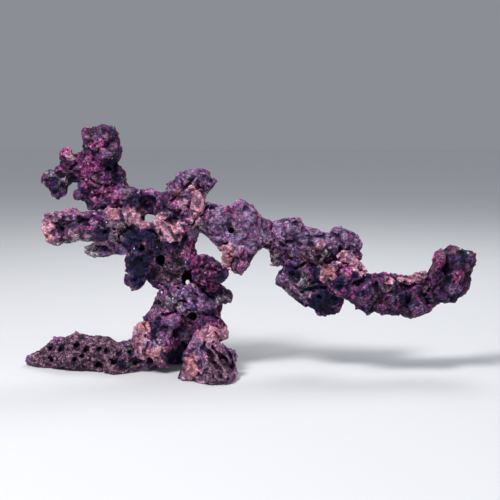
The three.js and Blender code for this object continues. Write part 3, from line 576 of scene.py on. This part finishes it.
class Shader:
    """A small helper that adds and links nodes of one material."""

    def __init__(self, name):
        self.material = bpy.data.materials.new(name)
        self.material.use_nodes = True
        self.tree = self.material.node_tree
        self.bsdf = next(n for n in self.tree.nodes if n.type == "BSDF_PRINCIPLED")

    def add(self, kind, inputs=(), **settings):
        node = self.tree.nodes.new(kind)
        for key, value in settings.items():
            setattr(node, key, value)
        for key, value in dict(inputs).items():
            self.plug(node.inputs[key], value)
        return node

    def plug(self, socket, value):
        if isinstance(value, bpy.types.NodeSocket):
            self.tree.links.new(value, socket)
        else:
            socket.default_value = value

    def attribute(self, name):
        return self.add("ShaderNodeAttribute", attribute_name=name).outputs["Fac"]

    def noise(self, scale, detail=3.0, roughness=0.6):
        where = self.add("ShaderNodeTexCoord").outputs["Object"]
        inputs = {"Vector": where, "Scale": scale, "Detail": detail, "Roughness": roughness}
        return self.add("ShaderNodeTexNoise", inputs).outputs["Fac"]

    def cells(self, scale):
        """A cell pattern with wavering outlines."""
        where = self.add("ShaderNodeTexCoord").outputs["Object"]
        wave = self.add("ShaderNodeTexNoise", {"Vector": where, "Scale": scale, "Detail": 2.0})
        waver = {0: wave.outputs["Color"], 1: (1 / scale,) * 3, 2: where}
        where = self.add("ShaderNodeVectorMath", waver, operation="MULTIPLY_ADD").outputs["Vector"]
        return self.add("ShaderNodeTexVoronoi", {"Vector": where, "Scale": scale})

    def veins(self, scale):
        """Branching lines: 0 along their middle."""
        return self.math("ABSOLUTE", self.math("SUBTRACT", self.noise(scale, 4), 0.5))

    def channel(self, node, name):
        return self.add("ShaderNodeSeparateColor", {"Color": node.outputs["Color"]}).outputs[name]

    def ramp(self, value, low, high):
        """The value stretched so that low becomes 0 and high becomes 1."""
        inputs = {"Value": value, "From Min": low, "From Max": high}
        return self.add("ShaderNodeMapRange", inputs, interpolation_type="SMOOTHSTEP").outputs["Result"]

    def math(self, operation, a, b=0.5):
        return self.add("ShaderNodeMath", {0: a, 1: b}, operation=operation).outputs["Value"]

    def times(self, a, b):
        return self.math("MULTIPLY", a, b)

    def mix(self, factor, a, b, blend="MIX"):
        node = self.add("ShaderNodeMix", data_type="RGBA", blend_type=blend)
        self.plug(node.inputs["Factor"], factor)
        for socket, value in ((node.inputs[6], a), (node.inputs[7], b)):
            self.plug(socket, value if isinstance(value, bpy.types.NodeSocket) else (*value, 1))
        return node.outputs[2]


# Colours, linear
# DEEP is painted shade only; NAVY is the indigo rock's base colour and painted shade too
DEEP = (0.004, 0.004, 0.014)
NAVY = (0.010, 0.010, 0.048)
PLUM = (0.088, 0.045, 0.108)
DARK_PLUM = (0.048, 0.027, 0.078)
MAGENTA = (0.235, 0.034, 0.108)
DARK_MAGENTA = (0.122, 0.026, 0.080)
PINK = (0.430, 0.112, 0.235)
MAUVE = (0.230, 0.132, 0.220)
LILAC = (0.335, 0.235, 0.360)
DUSTY = (0.270, 0.138, 0.195)
SALMON = (0.500, 0.216, 0.254)
PALE_SALMON = (0.720, 0.405, 0.460)
TERRACOTTA = (0.500, 0.190, 0.140)
OLIVE = (0.150, 0.124, 0.084)
PALE_GREY = (0.270, 0.240, 0.255)
BONE = (0.850, 0.800, 0.760)
TAN = (0.640, 0.540, 0.470)
BROWN = (0.080, 0.040, 0.050)
TAUPE = (0.190, 0.105, 0.120)

# Patches that go over the crust: kind, share, and the colours of their dark and pale crumbs
TINTS = (
    ("mauve", 0.8, PLUM, MAUVE),
    ("brown", 0.9, BROWN, TAUPE),
    ("lilac", 0.8, MAUVE, LILAC),
    ("pink", 0.78, MAGENTA, PINK),
    ("grey", 0.8, OLIVE, PALE_GREY),
)

CRUMBS = 430  # to a metre
CLUMPS = 150
CRUMB_DEPTH = 0.0018  # in metres


def crust(name, base, light, accent, putty=0.0):
    """Coralline crust over stone: a base colour, patches, accents, painted shade in hollows and on darker
    parts, painted highlights on ridges and crumbs, and a crumbly grain.
    """
    s = Shader(name)
    crumb = s.cells(CRUMBS)
    clump_hue = s.channel(s.cells(CLUMPS), "Green")
    crumb_chance = s.channel(crumb, "Red")
    speck = s.ramp(crumb_chance, 0.30, 0.70)
    blotch = s.ramp(s.noise(45, 3), 0.42, 0.60)
    colour = s.mix(blotch, base, light)
    colour = s.mix(s.times(s.ramp(s.noise(85, 4), 0.52, 0.60), 0.75), colour, accent)
    rim = s.times(s.ramp(s.attribute("relief"), 0.60, 0.80), s.ramp(s.noise(38, 3), 0.42, 0.55))
    colour = s.mix(s.times(rim, 0.6), colour, s.mix(speck, MAGENTA, PINK))
    for kind, share, dark, pale in TINTS:
        colour = s.mix(s.times(s.attribute(kind), share), colour, s.mix(speck, dark, pale))

    # Single clumps of other colours
    strewn = s.math("SUBTRACT", 0.5, s.times(s.attribute("brown"), 0.5))
    colour = s.mix(s.times(s.ramp(clump_hue, 0.80, 0.84), strewn), colour, MAGENTA)
    colour = s.mix(s.times(s.ramp(clump_hue, 0.20, 0.16), strewn), colour, OLIVE)

    # Putty
    salmon = s.mix(s.ramp(s.noise(110, 4), 0.40, 0.66), SALMON, PALE_SALMON)
    rust = s.math("MAXIMUM", s.ramp(s.noise(65, 4), 0.56, 0.64), s.attribute("rust"))
    salmon = s.mix(s.times(rust, 0.62), salmon, TERRACOTTA)
    patch = s.math("MAXIMUM", s.attribute("salmon"), putty)
    patch = s.math("SUBTRACT", patch, s.times(s.attribute("mauve"), 0.7))
    ragged = s.ramp(s.math("ADD", patch, s.times(s.noise(140, 4), 1.2)), 0.88, 1.08)
    salmon = s.mix(s.times(s.ramp(s.noise(95, 3), 0.36, 0.30), 0.6), salmon, MAUVE)
    colour = s.mix(ragged, colour, salmon)

    # Patches that lie over the putty too: painted shade, and tan stone
    # Painted shade: near-black blue in pits, hollows and caves
    colour = s.mix(s.times(s.attribute("navy_shade"), 0.95), colour, s.mix(speck, DEEP, NAVY))
    colour = s.mix(s.attribute("tan"), colour, s.mix(speck, PALE_GREY, TAN))
    # Painted shade: darkened towards black on the arm's end and in caves and hollows
    colour = s.mix(s.times(s.attribute("dusk_shade"), 0.42), colour, DEEP)

    # Light and shade painted into the colour, row by row: what it follows, where it starts and ends, and
    # its two tones.
    # Relief and form paint shade into hollows and creases and lighter tones onto ridges. The dark tone of
    # every row is bluer, as painted blue bounce light. The veins and crumbs are the grain's own dark lines
    # and random tones. The specks are partly its own tones, partly painted shade in its pores and painted
    # highlights on its crumbs.
    smooth = s.math("MAXIMUM", ragged, s.math("MAXIMUM", s.attribute("lilac"), s.attribute("tan")))
    smooth = s.times(smooth, 0.32)
    strength = s.math("SUBTRACT", 1.0, smooth)
    for value, low, high, dark, pale in (
        (s.attribute("relief"), 0.22, 0.72, 0.31, 1.28),
        (s.attribute("form"), 0.10, 0.75, 0.36, 1.35),
        (s.veins(110), 0.00, 0.045, 0.50, 1.04),
        (s.veins(260), 0.00, 0.055, 0.45, 1.14),
        (crumb_chance, 0.0, 1.0, 0.60, 1.40),
        (s.noise(600, 3), 0.38, 0.46, 0.42, 1.08),
        (s.noise(520, 3), 0.55, 0.65, 0.90, 1.95),
    ):
        shade = s.mix(s.ramp(value, low, high), (dark, dark, dark * 1.25), (pale, pale * 0.99, pale * 0.97))
        colour = s.mix(strength, colour, shade, "MULTIPLY")

    # Bare white stone
    chip = s.math("GREATER_THAN", s.noise(190, 1), 0.78)
    bone = s.ramp(s.math("ADD", s.times(s.attribute("bone"), 0.6), s.noise(330, 4)), 1.0, 1.1)
    colour = s.mix(s.math("MAXIMUM", chip, bone), colour, BONE)

    s.plug(s.bsdf.inputs["Base Color"], colour)
    s.plug(s.bsdf.inputs["Roughness"], s.ramp(crumb_chance, -1.2, 1.0))
    s.bsdf.inputs["Specular IOR Level"].default_value = 0.2
    grain = s.math("ADD", s.times(s.noise(800, 4), 0.9), crumb.outputs["Distance"])
    bump = s.add("ShaderNodeBump", {"Height": grain, "Strength": 1.0, "Distance": CRUMB_DEPTH})
    s.plug(s.bsdf.inputs["Normal"], bump.outputs["Normal"])
    return s.material


def make_materials():
    """The material of each slot."""
    return {
        "plum_rock": crust("plum_rock", PLUM, MAUVE, MAGENTA),
        "indigo_rock": crust("indigo_rock", NAVY, DARK_PLUM, PLUM),
        "magenta_rock": crust("magenta_rock", DARK_PLUM, DARK_MAGENTA, PLUM),
        "mauve_rock": crust("mauve_rock", MAUVE, PLUM, LILAC),
        "dusty_pink_rock": crust("dusty_pink_rock", DUSTY, MAUVE, SALMON),
        "coral_putty": crust("coral_putty", SALMON, DUSTY, PALE_SALMON, putty=0.45),
    }


# The pieces


# The rocks that aren't ROUGH. The putty is PRESSED.
WEAR = {
    "horn_rock": SLENDER,
    "left_spur_rock": SLENDER,
    "left_foot_rock": PITTED,
    "arm_root_rock": SMOOTHER,
    "front_foot_rock": PITTED,
}


def build_structure():
    """Puts a weathered piece in the place of every part of the frame."""
    slots = {part["node"]: part["material_slot"] for part in frame["record"]["subparts"]}
    materials = make_materials()
    for node_name, slot in sorted(slots.items()):
        wear = PRESSED if slot == "coral_putty" else WEAR.get(node_name, ROUGH)
        piece = stone(f"{node_name}_surface", node_name, wear)
        piece.data.materials.append(materials[slot])
        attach(piece, "root")
        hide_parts(node_name)


# The stage


def add_floor():
    mesh = bpy.data.meshes.new("floor")
    reach = 14.0
    corners = [(-reach, -reach, 0), (reach, -reach, 0), (reach, reach, 0), (-reach, reach, 0)]
    mesh.from_pydata(corners, [], [(0, 1, 2, 3)])
    floor = bpy.data.objects.new("floor", mesh)
    bpy.context.scene.collection.objects.link(floor)
    material = bpy.data.materials.new("floor")
    material.use_nodes = True
    bsdf = next(n for n in material.node_tree.nodes if n.type == "BSDF_PRINCIPLED")
    bsdf.inputs["Base Color"].default_value = (0.66, 0.67, 0.69, 1)
    bsdf.inputs["Roughness"].default_value = 0.9
    mesh.materials.append(material)


def add_light(name, place, target, size, power, colour):
    data = bpy.data.lights.new(name, "AREA")
    data.shape = "DISK"
    data.size = size
    data.energy = power
    data.color = colour
    light = bpy.data.objects.new(name, data)
    light.location = place
    light.rotation_euler = (Vector(target) - Vector(place)).to_track_quat("-Z", "Y").to_euler()
    bpy.context.scene.collection.objects.link(light)


def add_lights():
    middle = (0, 0, 0.15)
    add_light("key", (-0.8, -1.05, 1.9), middle, 0.6, 43, (1.0, 0.98, 0.97))
    add_light("fill", (1.6, -1.2, 0.9), middle, 1.6, 5, (0.88, 0.93, 1.0))
    add_light("top", (0.4, 0.9, 1.7), middle, 1.0, 13, (1.0, 1.0, 1.0))
    distant = bpy.data.lights.new("distant", "SUN")
    distant.energy = 0.42
    distant.angle = math.radians(20)
    light = bpy.data.objects.new("distant", distant)
    light.rotation_euler = Vector((0.5, 0.7, -1.6)).to_track_quat("-Z", "Y").to_euler()
    bpy.context.scene.collection.objects.link(light)
    bpy.context.scene.view_settings.view_transform = "Standard"
    world = bpy.data.worlds.new("studio")
    world.use_nodes = True
    background = next(n for n in world.node_tree.nodes if n.type == "BACKGROUND")
    background.inputs["Color"].default_value = (0.86, 0.91, 1.0, 1)
    background.inputs["Strength"].default_value = 0.30
    bpy.context.scene.world = world


def add_camera():
    data = bpy.data.cameras.new("camera")
    data.sensor_width = SENSOR
    data.lens = SENSOR * FOCAL_PIXELS / IMAGE_PIXELS
    camera = bpy.data.objects.new("camera", data)
    camera.location = EYE
    camera.rotation_euler = (math.pi / 2 - TILT, 0, 0)
    bpy.context.scene.collection.objects.link(camera)
    bpy.context.scene.camera = camera


add_camera()
build_structure()
add_floor()
add_lights()
